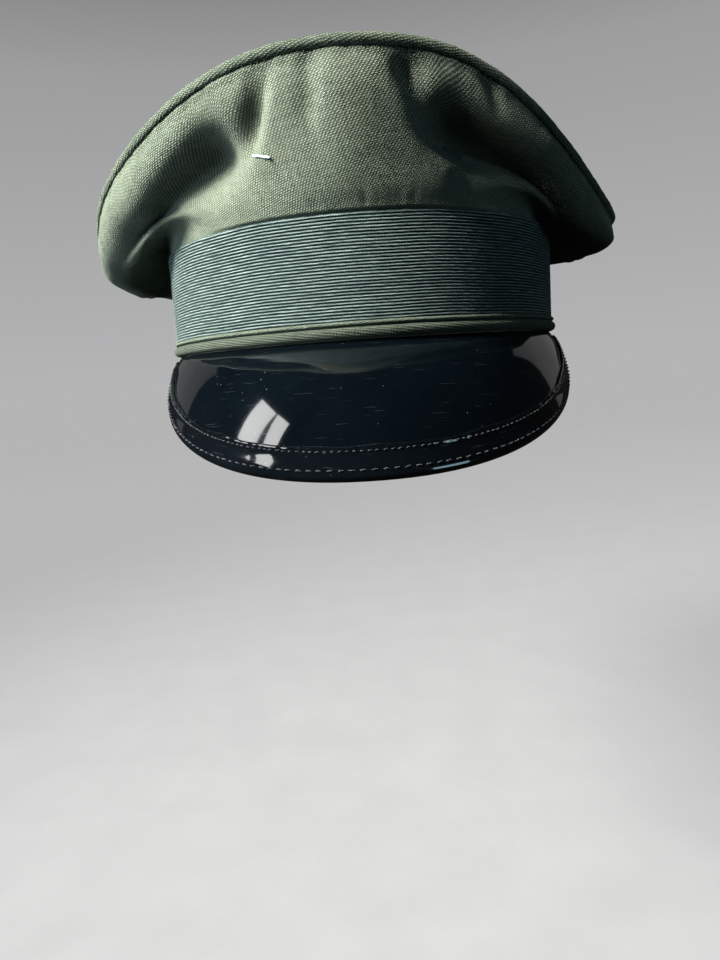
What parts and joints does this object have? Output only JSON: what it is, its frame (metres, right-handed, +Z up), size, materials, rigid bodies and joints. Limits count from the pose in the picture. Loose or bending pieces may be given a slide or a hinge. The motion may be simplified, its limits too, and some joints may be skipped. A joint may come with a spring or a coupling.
{
  "type": "military peaked cap",
  "caption": "Soft-topped peaked cap: oval cloth crown with welted rim, ribbed braid band, and a glossy bound peak over a leather sweatband.",
  "frame": {"origin": "centre of the head opening, in the plane of the band's bottom edge", "axes": "+Z up through the crown, -Y forwards over the peak, +X to the wearer's left"},
  "size_m": [0.2432, 0.2859, 0.1397],
  "materials": {
    "crown_cloth": "olive green hopsack weave, matt",
    "braid": "dark bluish green ribbed braid, slight sheen",
    "patent": "black patent, near mirror gloss",
    "peak_underside": "black grained leathercloth, satin",
    "fibre_board": "pressed fibre, matt",
    "sweatband_leather": "brown sweatband leather, satin",
    "lining": "satin lining, soft sheen",
    "clear_film": "clear flexible film",
    "canvas": "padded canvas, matt",
    "foam": "closed-cell foam, matt",
    "filler_cord": "cotton cord, matt",
    "spring_wire": "bright spring steel",
    "ferrule_metal": "plain brass",
    "reed": "dark plastic reed, satin",
    "tan_thread": "waxed thread",
    "black_thread": "black bonded thread, slight sheen",
    "pale_plastic": "pale glossy plastic"
  },
  "bodies": {
    "root": {"crown_top_panel": "crown_cloth", "crown_front_panel": "crown_cloth", "crown_rear_right_panel": "crown_cloth", "crown_rear_left_panel": "crown_cloth", "crown_welt": "crown_cloth", "crown_welt_cord": "filler_cord", "grommet_wire": "spring_wire", "grommet_ferrule": "ferrule_metal", "front_stay": "spring_wire", "crown_interlining": "canvas", "crown_lining_top": "lining", "crown_lining_wall": "lining", "sweat_shield": "clear_film", "ribbed_braid": "braid", "band_cloth": "crown_cloth", "band_stiffener": "fibre_board", "lower_welt": "crown_cloth", "lower_welt_cord": "filler_cord", "band_piping": "crown_cloth", "band_piping_cord": "filler_cord", "sweatband": "sweatband_leather", "sweatband_reed": "reed", "sweatband_stitches": "tan_thread", "sweatband_join_strip": "sweatband_leather", "forehead_pad": "foam", "peak_top_skin": "patent", "peak_core": "fibre_board", "peak_under_skin": "peak_underside", "peak_binding": "patent", "peak_inner_stitches": "black_thread", "peak_outer_stitches": "black_thread", "tag_fastener": "pale_plastic"}
  },
  "joints": []
}
